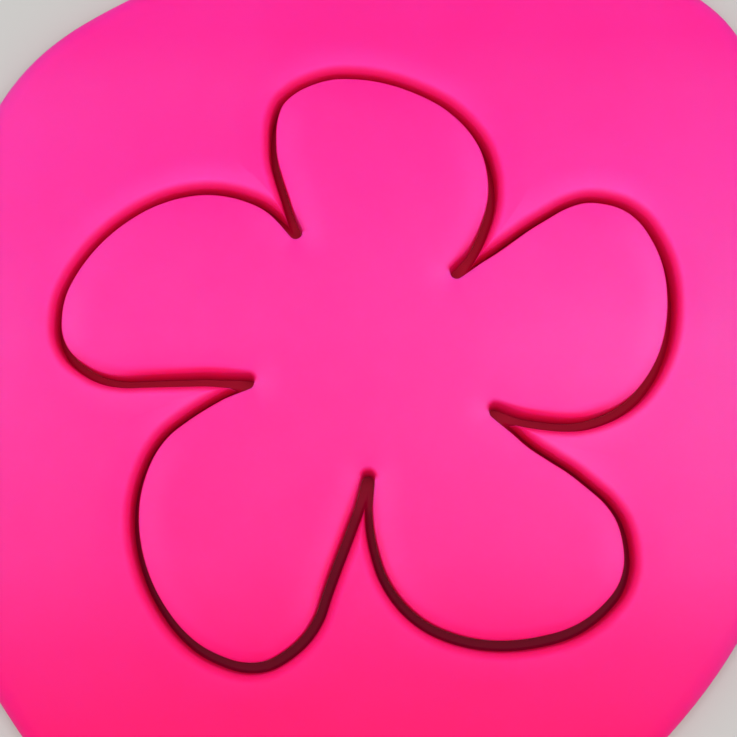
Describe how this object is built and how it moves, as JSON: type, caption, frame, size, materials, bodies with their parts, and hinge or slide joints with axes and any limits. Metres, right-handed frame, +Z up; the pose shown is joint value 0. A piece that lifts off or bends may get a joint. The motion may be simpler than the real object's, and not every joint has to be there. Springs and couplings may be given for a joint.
{
  "type": "flower cookie cutter with cut dough",
  "caption": "Flower-shaped cookie cutter with a thin tapered blade and a wide press flange, standing beside the rolled pink dough that holds the flower it has just cut out.",
  "frame": {"origin": "on the table, under the middle of the flower as it lies in the sheet", "axes": "+Z up from the table, +X to the right of the picture and towards the cutter, +Y away from the viewer"},
  "size_m": [0.2257, 0.1382, 0.016],
  "materials": {
    "sheet_dough": "soft matte dough",
    "flower_dough": "soft matte dough",
    "cutter_plastic": "printed plastic with fine layer lines"
  },
  "bodies": {
    "sheet": {"dough_sheet": "sheet_dough"},
    "flower": {"cut_flower": "flower_dough"},
    "cutter": {"flower_cutter": "cutter_plastic"}
  },
  "joints": [
    {"name": "flower_lift", "type": "slide", "parent": "sheet", "child": "flower", "axis": [0, 0, 1], "range_m": [0, 0.05]},
    {"name": "cutter_lift", "type": "slide", "parent": "sheet", "child": "cutter", "axis": [0, 0, 1], "range_m": [0, 0.06]}
  ]
}
